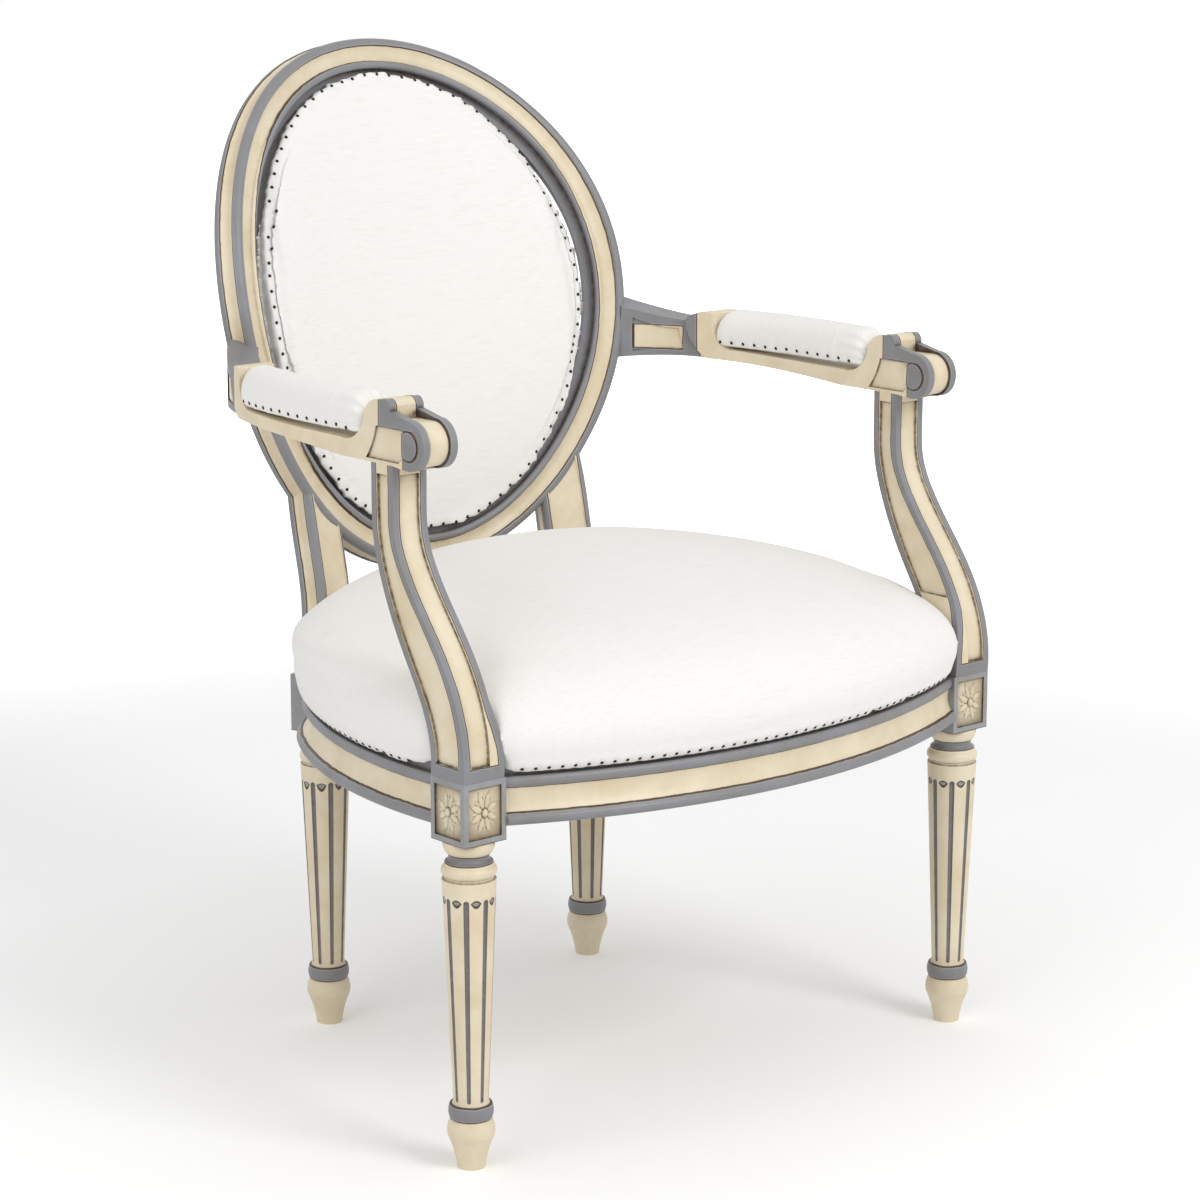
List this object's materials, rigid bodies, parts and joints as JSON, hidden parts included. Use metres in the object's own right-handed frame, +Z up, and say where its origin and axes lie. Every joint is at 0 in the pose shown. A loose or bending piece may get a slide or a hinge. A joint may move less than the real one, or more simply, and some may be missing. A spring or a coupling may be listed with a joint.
{
  "type": "fauteuil",
  "caption": "Open armchair with a moulded oval back, bowed seat, padded scroll-ended arms and turned fluted legs, painted wood with plain muslin upholstery.",
  "frame": {"origin": "middle of the chair's footprint, on the floor that the feet stand on", "axes": "+X to the right for a viewer facing the chair, -Y the way the chair faces, +Z up"},
  "size_m": [0.6702, 0.6704, 0.9637],
  "materials": {
    "painted_wood": "cream paint with grey-painted mouldings, brown glaze in the recesses",
    "bare_wood": "bare planed beech",
    "muslin": "plain off-white woven muslin",
    "stuffing": "curled hair under wadding",
    "hessian": "plain jute cloth",
    "webbing": "woven jute band",
    "screw_steel": "plain steel screw"
  },
  "bodies": {
    "root": {"front_leg_left": "painted_wood", "rear_leg_left": "painted_wood", "side_rail_left": "painted_wood", "arm_support_left": "painted_wood", "arm_left": "painted_wood", "back_side_left": "painted_wood", "corner_block_front_left": "bare_wood", "corner_block_rear_left": "bare_wood", "arm_pad_cover_left": "muslin", "arm_pad_stuffing_left": "stuffing", "front_leg_right": "painted_wood", "rear_leg_right": "painted_wood", "side_rail_right": "painted_wood", "arm_support_right": "painted_wood", "arm_right": "painted_wood", "back_side_right": "painted_wood", "corner_block_front_right": "bare_wood", "corner_block_rear_right": "bare_wood", "arm_pad_cover_right": "muslin", "arm_pad_stuffing_right": "stuffing", "front_rail": "painted_wood", "rear_rail": "painted_wood", "back_crest": "painted_wood", "back_bottom_rail": "painted_wood", "back_dowels": "bare_wood", "arm_dowels": "bare_wood", "corner_block_screws": "screw_steel", "seat_cover": "muslin", "back_cover": "muslin", "back_rear_cover": "muslin", "seat_stuffing": "stuffing", "back_stuffing": "stuffing", "seat_hessian": "hessian", "back_hessian": "hessian", "seat_webbing": "webbing"}
  },
  "joints": []
}
